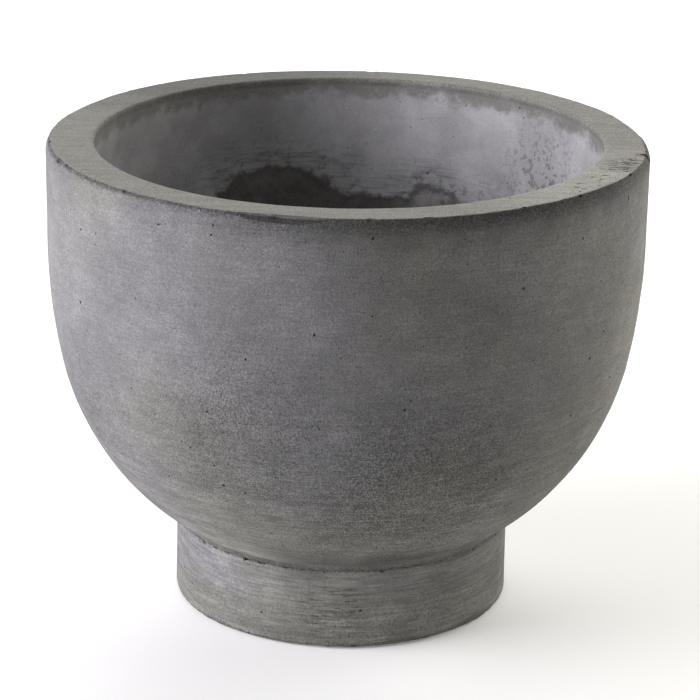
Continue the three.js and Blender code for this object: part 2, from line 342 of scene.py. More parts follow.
# %% Layers of the concrete
def pinholes(tree, place, cells_per_metre, radius):
    """1 in the middle of scattered dots, none wider than the radius, and 0 elsewhere."""
    inputs = {"Vector": place, "Scale": cells_per_metre}
    cells = node(tree, "ShaderNodeTexVoronoi", inputs).outputs
    chance = output(tree, "ShaderNodeSeparateColor", {0: cells["Color"]})
    reach = times(tree, chance, radius * cells_per_metre)
    return remap(tree, cells["Distance"], reach, times(tree, reach, 0.5))


def varied(tree, colour, amount, low, high, tones):
    """Multiplies a colour by a factor that follows a pattern, from low to high."""
    factor = remap(tree, tones, 0.0, 1.0, low, high)
    return blended(tree, amount, colour, factor, "MULTIPLY")


def layered(tree, colour, layers):
    """Lays patterns over a colour. Each has an amount, a low and a high factor and a pattern."""
    for layer in layers:
        colour = varied(tree, colour, *layer)
    return colour


def around_point(tree, place, point, reach):
    """1 at a point, easing to 0 at the reach."""
    return remap(tree, measured(tree, "DISTANCE", place, point), reach, reach * 0.25)


def with_mark(tree, colour, place, mark, tones, share=None):
    """A colour with one of the marks above in it, all of it or a share."""
    point, reach, low, high = mark
    there = around_point(tree, place, point, reach)
    if share is not None:
        there = times(tree, there, share)
    return varied(tree, colour, there, low, high, tones)


# %% Inside of the bowl: the pale skin with painted light on its right, a brown band under the mouth, and a line under the lip that is partly painted shade
MOUTH_BAND = 8 * MM
LIP_START, LIP_FULL = 6.5 * MM, 3 * MM


def above_water(tree, place, height):
    """How far a point is above the uneven line that standing water left."""
    above = maths(tree, "SUBTRACT", height, TIDE_LEVEL)
    for arch, wide, high in TIDE_ARCHES:
        from_arch = vector_maths(tree, "SUBTRACT", place, arch)
        squeezed = vector_maths(tree, "MULTIPLY", from_arch, (1 / wide, 1 / wide, 1 / high))
        far = measured(tree, "LENGTH", squeezed)
        arch_edge = times(tree, maths(tree, "SUBTRACT", far, 1.0), high)
        above = maths(tree, "MINIMUM", above, arch_edge)
    return above


def dry_inside(tree, place, across, height, patches, lip_patches):
    pale = varied(tree, INSIDE_PALE, 1.0, 0.88, 1.06, patches)
    # Painted light: the inside lighter on the right, where the window lights it, and darker on the
    # left, in its shade.
    pale = varied(tree, pale, 1.0, 0.93, 1.16, remap(tree, across, -0.06, 0.06))
    mouth_noise = noise(tree, place, 60, 4, 0.7, 13.0)
    mouth_level = times_plus(tree, mouth_noise, -0.036, RIM_TOP + MOUTH_BAND)
    mouth_stain = remap(tree, maths(tree, "SUBTRACT", height, mouth_level), -0.006, 0.003)
    colour = blended(tree, times(tree, mouth_stain, 0.8), pale, INSIDE_BROWN)
    # Darker patches just under the inner lip: a rough porous edge, with painted shade under the
    # lip.
    lip = remap(tree, height, RIM_TOP - LIP_START, RIM_TOP - LIP_FULL)
    return varied(tree, colour, times(tree, lip, lip_patches), 0.42, 0.62, patches)


# %% Inside of the bowl: what standing water left
OLDER_LINE_HEIGHT = 8 * MM
SPLASH_HEIGHT = 30 * MM


def inside_colour(tree, place, across, height):
    patches = pattern(tree, place, "inside patches")
    lip_patches = pattern(tree, place, "lip patches", 0.25, 1.0)
    colour = dry_inside(tree, place, across, height, patches, lip_patches)

    ragged = noise(tree, place, 60, 4, 0.65, 11.0)
    frayed = noise(tree, place, 280, 3, 0.65, 49.0)
    above = above_water(tree, place, height)
    above = times_plus(tree, ragged, -0.018, maths(tree, "ADD", above, 0.012))
    above = times_plus(tree, frayed, -0.007, above)
    wet = remap(tree, above, 0.0030, -0.0030)
    under_line = remap(tree, above, -0.0010, -0.0060)
    settled = blended(tree, around_point(tree, place, *DRIED_ARCH), WET_STAIN, DRIED_STAIN)
    settled = blended(tree, remap(tree, height, 0.218, 0.170), settled, DEEP_STAIN)
    stain = blended(tree, under_line, TIDE_LINE, settled)
    stain = varied(tree, stain, 1.0, 0.80, 1.18, remap(tree, ragged, 0.32, 0.68))

    from_older_line = maths(tree, "ABSOLUTE", maths(tree, "SUBTRACT", above, OLDER_LINE_HEIGHT))
    older_line = times(tree, remap(tree, from_older_line, 0.003, 0.0008), lip_patches)
    near_water = remap(tree, above, SPLASH_HEIGHT, 0.0)
    thin_lines = remap(tree, pattern(tree, place, "thin lines"), 0.52, 0.80)
    thin_lines = times(tree, thin_lines, near_water)
    spots = times(tree, pattern(tree, place, "inside spots"), near_water)
    layers = [(times(tree, older_line, 0.6), 0.40, 0.70, patches)]
    layers.append((times(tree, thin_lines, 0.7), 0.50, 0.70, patches))
    layers.append((times(tree, spots, 0.75), 0.42, 0.60, patches))
    colour = layered(tree, colour, layers)
    specks = times(tree, pattern(tree, place, "inside specks"), 0.8)
    colour = with_mark(tree, colour, place, SPLASHES, patches, specks)
    return blended(tree, wet, colour, stain)


# %% Outside of the bowl: the skin, and the flat of the rim
UNDER_RIM_START, UNDER_RIM_FULL = 26 * MM, 6 * MM
# Heights between which the painted shade in the crease above the foot fades in.
CORNER_END, CORNER_FULL = 79 * MM, 68 * MM


def bowl_skin(tree, skin, place, height, left, drier, mottle, blotches):
    """The shared skin with the bowl's own marks: dim under the rim, dim where it was dry, painted
    light on the right and low on the left, and painted shade in the crease above the foot.
    """
    under_rim = remap(tree, height, RIM_TOP - UNDER_RIM_START, RIM_TOP - UNDER_RIM_FULL)
    under_rim = times(tree, under_rim, remap(tree, left, 0.0, 1.0, 1.0, 0.25))
    skin = varied(tree, skin, under_rim, 0.66, 0.74, mottle)
    skin = varied(tree, skin, drier, 0.64, 0.74, blotches)
    skin = with_mark(tree, skin, place, BRUISE, mottle)
    # Painted light on the right side of the bowl.
    skin = with_mark(tree, skin, place, LIT_RIGHT_SIDE, blotches)
    # Painted light low on the left of the bowl's underside.
    skin = with_mark(tree, skin, place, LIT_UNDERSIDE, mottle)
    # Painted shade in the crease just above the foot, only below a set height.
    in_corner = remap(tree, height, CORNER_END, CORNER_FULL)
    return with_mark(tree, skin, place, SHADED_CREASE, mottle, in_corner)


def rim_colour(tree, place, torn, folds, mottle, blotches):
    """Paler ground concrete, darker towards the back left and lighter towards the front right,
    brushed from side to side, and torn at one place.
    """
    top = with_mark(tree, RIM_GREY, place, RIM_DARKER_BACK, mottle)
    top = with_mark(tree, top, place, RIM_LIGHTER_FRONT, blotches)
    brushed = pattern(tree, place, "brushed")
    flecks = pattern(tree, place, "flecks")
    layers = [(1.0, 0.92, 1.07, brushed), (1.0, 0.93, 1.07, mottle), (torn, 0.64, 1.28, folds)]
    layers.append((1.0, 1.0, 1.30, flecks))
    return layered(tree, top, layers)


# %% Concrete finish
PINHOLE_SIZES = [(128, 0.80 * MM), (240, 0.48 * MM)]
ARRIS_LINE_START, ARRIS_LINE_END = 1.2 * MM, 3.8 * MM


def concrete(name, with_inside):
    material, tree, surface, place = new_finish(name)
    axes = node(tree, "ShaderNodeSeparateXYZ", {0: place}).outputs
    across, height = axes[0], axes[2]
    low_down = remap(tree, height, 0.20, 0.09)
    worn = marked(tree, "worn")
    broken = marked(tree, "broken")

    # Cool on the upper left, warmer to the right and low down.
    clouds = pattern(tree, place, "clouds")
    warmth = times_plus(tree, remap(tree, across, -0.09, 0.11), 0.55, clouds)
    if with_inside:
        warmth = times_plus(tree, low_down, 0.5, warmth)
        warmth = times_plus(tree, around_point(tree, place, *COOL_PATCH), -0.4, warmth)
    else:
        warmth = times_plus(tree, remap(tree, height, 0.045, 0.010), 0.8, warmth)
    colour = blended(tree, remap(tree, warmth, 0.0, 1.5), COOL_GREY, WARM_GREY)
    if not with_inside:
        colour = blended(tree, 1.0, colour, FOOT_PALER, "MULTIPLY")

    # Porous skin, where the mix was drier: darker patches on the front, full of dark specks.
    if with_inside:
        drier = 0.0
        for point, reach, how_dry in DRY_PATCHES:
            patch = times(tree, around_point(tree, place, point, reach), how_dry)
            drier = maths(tree, "MAXIMUM", patch, drier)
    else:
        drier = remap(tree, height, 0.045, 0.02, 0.1, 0.4)
    pores = pattern(tree, place, "pores")
    pore_patches = pattern(tree, place, "pore patches", 0.3, 1.0)
    pore_amount = times(tree, pore_patches, times_plus(tree, drier, 0.75, 0.28))
    grain_amount = times_plus(tree, low_down, 0.06, 0.45)
    grain_amount = times_plus(tree, drier, 0.50, grain_amount)

    mottle = pattern(tree, place, "mottle")
    blotches = pattern(tree, place, "blotches")
    fine_streaks = pattern(tree, place, "fine streaks")
    streak_amount = times_plus(tree, low_down, 0.65, 0.35)
    wide_amount = times_plus(tree, low_down, 0.8, 0.15)
    layers = [(1.0, 0.92, 1.07, mottle), (1.0, 0.92, 1.07, blotches)]
    layers.append((grain_amount, 0.91, 1.09, pattern(tree, place, "smudges")))
    layers.append((streak_amount, 0.84, 1.12, fine_streaks))
    layers.append((wide_amount, 0.90, 1.07, pattern(tree, place, "wide streaks")))
    colour = layered(tree, colour, layers)

    if with_inside:
        rim = marked(tree, "rim")
        inside = marked(tree, "inside")
        left = remap(tree, across, -0.02, -0.13)
        # On the left the worn edge is only a thin line.
        line_start, line_end = RIM_TOP - ARRIS_LINE_START, RIM_TOP - ARRIS_LINE_END
        below_line = times(tree, left, remap(tree, height, line_start, line_end))
        worn = times(tree, worn, times_plus(tree, below_line, -0.85, 1.0))

        folds = pattern(tree, place, "folds")
        torn = times(tree, around_point(tree, place, *TORN_RIM), rim)
        skin = bowl_skin(tree, colour, place, height, left, drier, mottle, blotches)
        top = rim_colour(tree, place, torn, folds, mottle, blotches)
        inner = inside_colour(tree, place, across, height)
        inner = varied(tree, inner, 1.0, 0.94, 1.06, mottle)
        colour = blended(tree, inside, blended(tree, rim, skin, top), inner)
        grain_amount = times_plus(tree, rim, 0.15, grain_amount)
        grain_amount = times(tree, grain_amount, times_plus(tree, inside, -0.6, 1.0))
        outside = maths(tree, "SUBTRACT", maths(tree, "SUBTRACT", 1.0, rim), inside)
        pore_amount = times(tree, pore_amount, outside)
    else:
        grain_amount = times(tree, grain_amount, 0.55)
        # Painted light low on the left of the foot's top edge.
        colour = with_mark(tree, colour, place, LIT_FOOT_TOP, mottle)
        colour = with_mark(tree, colour, place, PALE_FOOT, mottle)
        scuffs = remap(tree, pattern(tree, place, "scuffs"), 0.62, 0.92)
        colour = with_mark(tree, colour, place, FOOT_SCUFFS, mottle, scuffs)

    # The worn arris: dark open grain, with a fringe of pale crumbs at its lower edge.
    sand = pattern(tree, place, "sand")
    speckle = pattern(tree, place, "speckle")
    fringe = times(tree, maths(tree, "SUBTRACT", 1.0, worn), worn)
    crumbs = times(tree, fringe, remap(tree, speckle, 0.5, 0.9, 0.0, 2.2))
    crumbs = times(tree, crumbs, remap(tree, across, 0.03, -0.06, 0.2, 1.0))
    layers = [(grain_amount, 0.86, 1.14, pattern(tree, place, "grit"))]
    layers += [(grain_amount, 0.44, 1.52, sand), (pore_amount, 1.0, 0.36, pores)]
    layers += [(worn, 0.36, 0.86, speckle), (crumbs, 1.45, 1.55, mottle)]
    colour = layered(tree, colour, layers)

    # Painted shade: dark dots for the finer air holes, and the faces of cut air holes and chips
    # darkened as if shaded inside.
    dots, small_dots = [pinholes(tree, place, *size) for size in PINHOLE_SIZES]
    for spots, darkness in ((dots, 0.72), (small_dots, 0.62), (broken, 0.8)):
        colour = blended(tree, times(tree, spots, darkness), colour, PIT_SHADE)
    tree.links.new(colour, surface.inputs["Base Color"])
    roughness = remap(tree, mottle, 0.0, 1.0, 0.78, 0.92)
    tree.links.new(roughness, surface.inputs["Roughness"])
    surface.inputs["Specular IOR Level"].default_value = 0.3

    # What stands up, and by what share of the relief's full height.
    raised = [(sand, 0.28), (fine_streaks, times(tree, streak_amount, 0.2))]
    raised += [(times(tree, worn, speckle), 0.8), (times(tree, pore_amount, pores), -0.35)]
    raised.append((dots, -0.9))
    if with_inside:
        raised.append((times(tree, torn, folds), 1.8))
    relief = times(tree, mottle, 0.25)
    for shape, share in raised:
        relief = times_plus(tree, shape, share, relief)
    raise_surface(tree, surface, relief, 0.45 * MM)
    return material


BOWL_CONCRETE = concrete("bowl_concrete", with_inside=True)
FOOT_CONCRETE = concrete("foot_concrete", with_inside=False)
print("concrete:", len(BOWL_CONCRETE.node_tree.nodes), "nodes for the bowl")

# %% [markdown]
# ## The small finishes
#
# The mortar is darker and coarser than the castings. The sleeve is moulded plastic with a fine
# satin texture, the stopper and the pads are rubber with a bloom of dust, and the dowels are
# drawn steel bar, so their scratches run along them.

# %% Mortar, plastic, rubber and steel
def coated(name, coat, amount, under, over, roughness):
    """A plain finish with a second one lying on it in patches."""
    material, tree, surface, place = new_finish(name)
    cover = pattern(tree, place, coat)
    colour = blended(tree, times(tree, cover, amount), under, over)
    tree.links.new(colour, surface.inputs["Base Color"])
    tree.links.new(remap(tree, cover, 0.0, 1.0, *roughness), surface.inputs["Roughness"])
    return material, tree, surface, place


def mortar_finish():
    material, tree, surface, place = new_finish("mortar")
    lumps = pattern(tree, place, "mortar lumps")
    sand = pattern(tree, place, "mortar sand")
    colour = blended(tree, lumps, (0.118, 0.114, 0.108), (0.190, 0.185, 0.176))
    colour = varied(tree, colour, 1.0, 0.6, 1.2, sand)
    tree.links.new(colour, surface.inputs["Base Color"])
    surface.inputs["Roughness"].default_value = 0.95
    relief = times_plus(tree, lumps, 0.7, times(tree, sand, 0.3))
    raise_surface(tree, surface, relief, 0.6 * MM)
    return material


def plastic_finish():
    colours = (0.042, 0.047, 0.050), (0.19, 0.185, 0.175)
    material, tree, surface, place = coated("sleeve_plastic", "dust", 0.35, *colours, (0.42, 0.75))
    raise_surface(tree, surface, noise(tree, place, 1800, 1, 0.5, 2.0), 0.05 * MM, 0.5)
    return material


def rubber_finish(name):
    colours = (0.018, 0.018, 0.019), (0.14, 0.135, 0.13)
    material, tree, surface, place = coated(name, "bloom", 0.3, *colours, (0.62, 0.9))
    raise_surface(tree, surface, noise(tree, place, 1300, 2, 0.6, 6.0), 0.08 * MM, 0.6)
    return material


def steel_finish():
    material, tree, surface, place = new_finish("dowel_steel")
    drawn = pattern(tree, place, "drawn")
    rust = pattern(tree, place, "rust")
    colour = blended(tree, drawn, (0.40, 0.41, 0.42), (0.58, 0.585, 0.59))
    colour = blended(tree, times(tree, rust, 0.6), colour, (0.16, 0.075, 0.035))
    tree.links.new(colour, surface.inputs["Base Color"])
    tree.links.new(remap(tree, rust, 0.0, 1.0, 0.9, 0.15), surface.inputs["Metallic"])
    tree.links.new(remap(tree, rust, 0.0, 1.0, 0.36, 0.8), surface.inputs["Roughness"])
    raise_surface(tree, surface, drawn, 0.03 * MM, 0.5)
    return material


MORTAR = mortar_finish()
SLEEVE_PLASTIC = plastic_finish()
STOPPER_RUBBER = rubber_finish("stopper_rubber")
PAD_RUBBER = rubber_finish("pad_rubber")
DOWEL_STEEL = steel_finish()

# %% [markdown]
# ## Outlines
#
# A casting like this is turned: half of its section, carried once around the axis. The outline
# is a short list of stretches, each a line or an arc cut into rows. Rows lie close together
# where light shows small shape, as on the arris, and far apart where nothing is seen. Every row
# carries marks, which the tree reads as it shapes the surface and the finish reads afterwards.

# %% Lines and arcs
MARKS = ("wander", "worn", "mouth", "edge", "inside", "rim", "bubbly")


def line(start, end, spacing):
    """Points from start to end, at most that far apart."""
    steps = max(1, math.ceil((end - start).length / spacing))
    return [start.lerp(end, i / steps) for i in range(steps + 1)]


def arc(centre, radius, from_angle, to_angle, spacing):
    """Points along an arc. Angles are measured from straight outwards, turning upwards."""
    steps = max(3, math.ceil(abs(to_angle - from_angle) * radius / spacing))
    angles = [from_angle + (to_angle - from_angle) * i / steps for i in range(steps + 1)]
    return [centre + Vector((math.cos(a), math.sin(a))) * radius for a in angles]


def near(point, corner, reach):
    """1 at the corner, easing to 0 at the reach."""
    share = max(0.0, 1.0 - (point - corner).length / reach)
    return share * share * (3 - 2 * share)


def outline_mesh(name, stretches, ring_radius):
    """A closed outline as points and edges, drawn about the ring it will be carried along.
    A stretch is its points and a function that gives the marks of a point."""
    rows = []
    for points, marks_of in stretches:
        for point in points:
            if not rows or (point - rows[-1][0]).length > 1e-6:
                rows.append((point, marks_of(point)))
    if (rows[0][0] - rows[-1][0]).length < 1e-6:
        rows.pop()
    mesh = bpy.data.meshes.new(name)
    corners = [(point.x - ring_radius, -point.y, 0) for point, marks in rows]
    edges = [(i, (i + 1) % len(rows)) for i in range(len(rows))]
    mesh.from_pydata(corners, edges, [])
    for mark in MARKS:
        values = mesh.attributes.new(mark, "FLOAT", "POINT")
        values.data.foreach_set("value", [marks.get(mark, 0.0) for point, marks in rows])
    print(name, "outline:", len(rows), "rows")
    return mesh


# %% [markdown]
# ## The tree that turns an outline
#
# `Curve to Mesh` carries the outline around a circle, as a turner's template is carried round a
# mould. Then each point moves a little along its own normal: a broad slow wander, as hand-made
# moulds have, a finer unevenness, and crumbling where the row is marked as worn. The inner edge
# of the mouth also wanders in and out. The seeds are fixed, so the casting is always the same.

# %% Tree: turn an outline
GEOMETRY = "NodeSocketGeometry"
SOCKETS = {int: "NodeSocketInt", float: "NodeSocketFloat"}
MOUTH_LONG_WAY = (0.247, 0.969, 0.0)


def new_tree(name, inputs):
    """A tree with a geometry input and output, and named inputs for its sizes."""
    tree = bpy.data.node_groups.new(name, "GeometryNodeTree")
    tree.interface.new_socket("Geometry", in_out="OUTPUT", socket_type=GEOMETRY)
    for label, kind in {"Geometry": GEOMETRY, **inputs}.items():
        socket_type = SOCKETS.get(kind, kind)
        tree.interface.new_socket(label, in_out="INPUT", socket_type=socket_type)
    given = tree.nodes.new("NodeGroupInput").outputs
    return tree, given, tree.nodes.new("NodeGroupOutput").inputs[0]


def carried(tree, name, kind="FLOAT"):
    """A mark that the geometry carries, as a field."""
    return output(tree, "GeometryNodeInputNamedAttribute", {"Name": name}, data_type=kind)


def either_way(tree, uneven, amount):
    """Turns noise about its middle into a distance to both sides."""
    centred = maths(tree, "SUBTRACT", uneven, 0.5)
    return times(tree, centred, times(tree, amount, 3.0))


def turning_tree():
    sizes = ["Ring radius", "Broad wander", "Fine wander", "Crumbling", "Seed"]
    sizes += ["Mouth wander", "Mouth shift", "Mouth oval", "Edge wander"]
    inputs = {"Steps around": int, **{size: float for size in sizes}}
    tree, given, result = new_tree("turn_outline", inputs)
    seed, fine_wander = given["Seed"], given["Fine wander"]
    outline = output(tree, "GeometryNodeMeshToCurve", {0: given["Geometry"]})
    ring_inputs = {"Resolution": given["Steps around"], "Radius": given["Ring radius"]}
    ring = output(tree, "GeometryNodeCurvePrimitiveCircle", ring_inputs)
    turned = output(tree, "GeometryNodeCurveToMesh", {"Curve": ring, "Profile Curve": outline})

    place = output(tree, "GeometryNodeInputPosition")
    normal = output(tree, "GeometryNodeInputNormal")
    broad = either_way(tree, noise(tree, place, 9, 1, 0.5, seed), given["Broad wander"])
    medium = either_way(tree, noise(tree, place, 38, 2, 0.5, seed), fine_wander)
    fine = either_way(tree, noise(tree, place, 150, 2, 0.5, seed), times(tree, fine_wander, 0.35))
    wander = maths(tree, "ADD", maths(tree, "ADD", broad, medium), fine)
    wander = times(tree, wander, carried(tree, "wander"))

    lumps = remap(tree, noise(tree, place, 130, 3, 0.6, seed), 0.42, 0.68)
    patches = remap(tree, noise(tree, place, 28, 2, 0.5, seed), 0.40, 0.60, 0.25, 1.0)
    crumbled = times(tree, lumps, times(tree, patches, given["Crumbling"]))
    crumbled = times(tree, crumbled, carried(tree, "worn"))
    along_normal = vector_maths(tree, "SCALE", normal, maths(tree, "SUBTRACT", wander, crumbled))

    level = vector_maths(tree, "MULTIPLY", place, (1.0, 1.0, 0.0))
    outwards = output(tree, "ShaderNodeVectorMath", {0: level}, operation="NORMALIZE")
    to_the_right = output(tree, "ShaderNodeSeparateXYZ", {0: outwards})
    along = measured(tree, "DOT_PRODUCT", outwards, MOUTH_LONG_WAY)
    ripple = either_way(tree, noise(tree, level, 16, 3, 0.55, seed), given["Mouth wander"])
    oval = times_plus(tree, times(tree, along, along), 2.0, -1.0)
    mouth = times_plus(tree, oval, given["Mouth oval"], ripple)
    mouth = times_plus(tree, to_the_right, given["Mouth shift"], mouth)
    bites = remap(tree, noise(tree, level, 13, 2, 0.5, seed), 0.46, 0.66)
    bites = times(tree, bites, times(tree, given["Edge wander"], carried(tree, "edge")))
    sideways = times_plus(tree, mouth, carried(tree, "mouth"), times(tree, bites, -1.0))
    along_level = vector_maths(tree, "SCALE", outwards, sideways)
    offset = vector_maths(tree, "ADD", along_normal, along_level)
    shaped = output(tree, "GeometryNodeSetPosition", {0: turned, "Offset": offset})
    outward_faces = output(tree, "GeometryNodeFlipFaces", {0: shaped})
    tree.links.new(output(tree, "GeometryNodeRealizeInstances", {0: outward_faces}), result)
    return tree


TURN_OUTLINE = turning_tree()


def applied(holder, name):
    """The plain mesh that an object's modifiers make. The object itself is removed."""
    evaluated = holder.evaluated_get(bpy.context.evaluated_depsgraph_get())
    made = bpy.data.meshes.new_from_object(evaluated)
    bpy.data.objects.remove(holder)
    made.name = name
    return made


def run_tree(tree, name, mesh, values):
    """Runs a tree on a mesh, and gives back what it makes as a plain mesh."""
    holder = placed(name, mesh)
    modifier = holder.modifiers.new(tree.name, "NODES")
    modifier.node_group = tree
    for socket in tree.interface.items_tree:
        if socket.in_out == "INPUT" and socket.name in values:
            modifier[socket.identifier] = values[socket.name]
    return applied(holder, name)


def measure(mesh):
    """Prints a mesh's size, and stops if it is open or inside out."""
    solid = bmesh.new()
    solid.from_mesh(mesh)
    open_edges = sum(1 for edge in solid.edges if not edge.is_manifold)
    litres = solid.calc_volume(signed=True) * 1000
    triangles = sum(len(face.verts) - 2 for face in solid.faces)
    solid.free()
    print(f"{mesh.name}: {triangles} triangles, {litres:.4f} litres, {open_edges} open edges")
    if litres <= 0 or open_edges:
        raise SystemExit(f"{mesh.name} is open or inside out")


def turned_casting(name, stretches, values):
    """A casting from its outline, before anything is cut from it."""
    outline = outline_mesh(f"{name}_outline", stretches, values["Ring radius"])
    made = run_tree(TURN_OUTLINE, f"{name}_turned", outline, values)
    measure(made)
    return made


# %% [markdown]
# ## Outline of the bowl
#
# From the underside up: the spigot that locates the bowl in the foot, the tight lower curve, the
# slow upper curve, the straight band, the worn arris, the flat rim, and down the inside to the
# dished floor around the drain. The rim was ground flat after casting, so its outer edge is crisp,
# while the arris under it keeps the rough open grain of the top of the mould.

# %% Outline of the bowl
SLOW_CENTRE = Vector((RIM_RADIUS - SLOW_CURVE_RADIUS, RIM_TOP - SIDE_BAND_HEIGHT))
CURVE_CHANGE_WAY = Vector((math.cos(SLOW_CURVE_SWEEP), -math.sin(SLOW_CURVE_SWEEP)))
ARRIS_LOW = Vector((RIM_RADIUS, RIM_TOP - ARRIS_HEIGHT))
ARRIS_HIGH = Vector((RIM_RADIUS - ARRIS_WIDTH, RIM_TOP))
ARRIS_SWEEP_RADIUS = (ARRIS_WIDTH**2 + ARRIS_HEIGHT**2) / (2 * ARRIS_WIDTH)
ARRIS_CENTRE = ARRIS_LOW - Vector((ARRIS_SWEEP_RADIUS, 0))
ARRIS_SWEEP = math.asin(ARRIS_HEIGHT / ARRIS_SWEEP_RADIUS)
INNER_CORNER = Vector((RIM_RADIUS - BOWL_WALL, RIM_TOP))
FOOT_EDGE = Vector((FOOT_TOP_RADIUS, SHOULDER_Z))
WALL_ROW = 3.2 * MM
INSIDE_ROW = 4.6 * MM
RIM_ROW = 2.4 * MM
ARRIS_ROW = 0.8 * MM


def side_curves(wall, end, spacing):
    """The slow curve and then the tight one, downwards, moved in by the wall."""
    slow_radius = SLOW_CURVE_RADIUS - wall
    slow = arc(SLOW_CENTRE, slow_radius, 0, -SLOW_CURVE_SWEEP, spacing)
    span = slow[-1] - end
    tight_radius = span.length_squared / (2 * span.dot(CURVE_CHANGE_WAY))
    centre = slow[-1] - CURVE_CHANGE_WAY * tight_radius
    end_angle = math.atan2(end.y - centre.y, end.x - centre.x)
    return slow + arc(centre, tight_radius, -SLOW_CURVE_SWEEP, end_angle, spacing)[1:]


def hidden_marks(point):
    return {}


def wall_marks(point):
    settled = 1 - near(point, FOOT_EDGE, 6 * MM)
    worn = 0.55 * near(point, ARRIS_LOW, 5 * MM)
    return {"wander": settled, "worn": worn, "bubbly": settled * (1 - worn)}


def arris_marks(point):
    share = (point.y - ARRIS_LOW.y) / (ARRIS_HIGH.y - ARRIS_LOW.y)
    return {"wander": 0.6, "worn": 0.55 + 0.45 * share, "edge": share}


def rim_marks(point):
    marks = {"wander": 0.5, "rim": 1.0, "bubbly": 0.25}
    marks["edge"] = near(point, ARRIS_HIGH, 9 * MM)
    marks["mouth"] = near(point, INNER_CORNER, 14 * MM)
    return marks


def inside_marks(point):
    settled = 1 - near(point, Vector((FLOOR_RADIUS, FLOOR_Z)), 10 * MM)
    mouth = near(point, INNER_CORNER, 40 * MM)
    return {"wander": settled, "inside": 1.0, "mouth": mouth, "bubbly": 0.35 * settled}


def floor_marks(point):
    return {"inside": 1.0}


def bowl_outline():
    inner_radius = RIM_RADIUS - BOWL_WALL
    lip_centre = INNER_CORNER + Vector((INNER_ARRIS_RADIUS, -INNER_ARRIS_RADIUS))
    rim_inner = Vector((inner_radius + INNER_ARRIS_RADIUS, RIM_TOP))
    band_low = Vector((RIM_RADIUS, RIM_TOP - SIDE_BAND_HEIGHT))
    worn_low = ARRIS_LOW - Vector((0, 7 * MM))
    inside_low = Vector((inner_radius, RIM_TOP - SIDE_BAND_HEIGHT))
    lip_low = Vector((inner_radius, RIM_TOP - INNER_ARRIS_RADIUS))
    floor_edge = Vector((FLOOR_RADIUS, FLOOR_Z))
    underside = [
        Vector((DRAIN_HOLE_RADIUS, SPIGOT_BOTTOM_Z)),
        Vector((SPIGOT_RADIUS, SPIGOT_BOTTOM_Z)),
        Vector((SPIGOT_RADIUS, SHOULDER_Z)),
    ]
    floor = [
        floor_edge,
        Vector((DISH_RADIUS, FLOOR_Z)),
        Vector((DISH_RADIUS, DISH_Z)),
        Vector((DRAIN_HOLE_RADIUS, DISH_Z)),
        Vector((DRAIN_HOLE_RADIUS, SPIGOT_BOTTOM_Z)),
    ]
    return [
        (underside, hidden_marks),
        (side_curves(0, FOOT_EDGE, WALL_ROW)[::-1], wall_marks),
        (line(band_low, worn_low, WALL_ROW), wall_marks),
        (line(worn_low, ARRIS_LOW, 1.3 * MM), wall_marks),
        (arc(ARRIS_CENTRE, ARRIS_SWEEP_RADIUS, 0, ARRIS_SWEEP, ARRIS_ROW)[:-1], arris_marks),
        (line(ARRIS_HIGH, rim_inner, RIM_ROW), rim_marks),
        (arc(lip_centre, INNER_ARRIS_RADIUS, math.pi / 2, math.pi, ARRIS_ROW), rim_marks),
        (line(lip_low, inside_low, INSIDE_ROW), inside_marks),
        (side_curves(BOWL_WALL, floor_edge, INSIDE_ROW), inside_marks),
        (floor, floor_marks),
    ]


BOWL_STEPS = 340
bowl_values = {"Steps around": BOWL_STEPS, "Ring radius": RIM_RADIUS, "Seed": 2.0}
bowl_values.update({"Broad wander": 0.6 * MM, "Fine wander": 0.22 * MM})
bowl_values.update({"Mouth wander": 0.7 * MM, "Mouth shift": 0.9 * MM, "Mouth oval": 2.5 * MM})
bowl_values.update({"Crumbling": 0.55 * MM, "Edge wander": 1.2 * MM})
bowl_turned = turned_casting("bowl", bowl_outline(), bowl_values)

# %% [markdown]
# ## Bored holes
#
# The dowels' holes and the recesses of the pads repeat around a circle. One tree sets round
# bars on that circle and cuts them all from the casting at once.

# %% Tree: bore holes around a circle
BAR_SIDES = 40


def circle_of_points(tree, given, height=0.0):
    """Points around the axis, as many and as far out as the tree is given."""
    circle_inputs = {"Vertices": given["Count"], "Radius": given["Circle radius"]}
    circle = output(tree, "GeometryNodeMeshCircle", circle_inputs)
    raised = output(tree, "ShaderNodeCombineXYZ", {2: height})
    turned = output(tree, "ShaderNodeCombineXYZ", {2: given["Turn"]})
    move = {0: circle, "Translation": raised, "Rotation": turned}
    return output(tree, "GeometryNodeTransform", move)


def set_out(tree, points, instance, **setting):
    """A copy at every point, all of them made real."""
    inputs = {"Points": points, "Instance": instance, **setting}
    copies = output(tree, "GeometryNodeInstanceOnPoints", inputs)
    return output(tree, "GeometryNodeRealizeInstances", {0: copies})


def cut_from(tree, casting, tool):
    settings = {"operation": "DIFFERENCE", "solver": "MANIFOLD"}
    return output(tree, "GeometryNodeMeshBoolean", {0: casting, 1: tool}, **settings)


def boring_tree():
    sizes = ("Hole radius", "Circle radius", "Bottom", "Top", "Turn")
    inputs = {"Count": int, **{size: float for size in sizes}}
    tree, given, result = new_tree("bore_around", inputs)
    depth = maths(tree, "SUBTRACT", given["Top"], given["Bottom"])
    middle = times_plus(tree, depth, 0.5, given["Bottom"])
    bar_inputs = {"Vertices": BAR_SIDES, "Radius": given["Hole radius"], "Depth": depth}
    bar = output(tree, "GeometryNodeMeshCylinder", bar_inputs)
    bars = set_out(tree, circle_of_points(tree, given, middle), bar)
    tree.links.new(cut_from(tree, given["Geometry"], bars), result)
    return tree


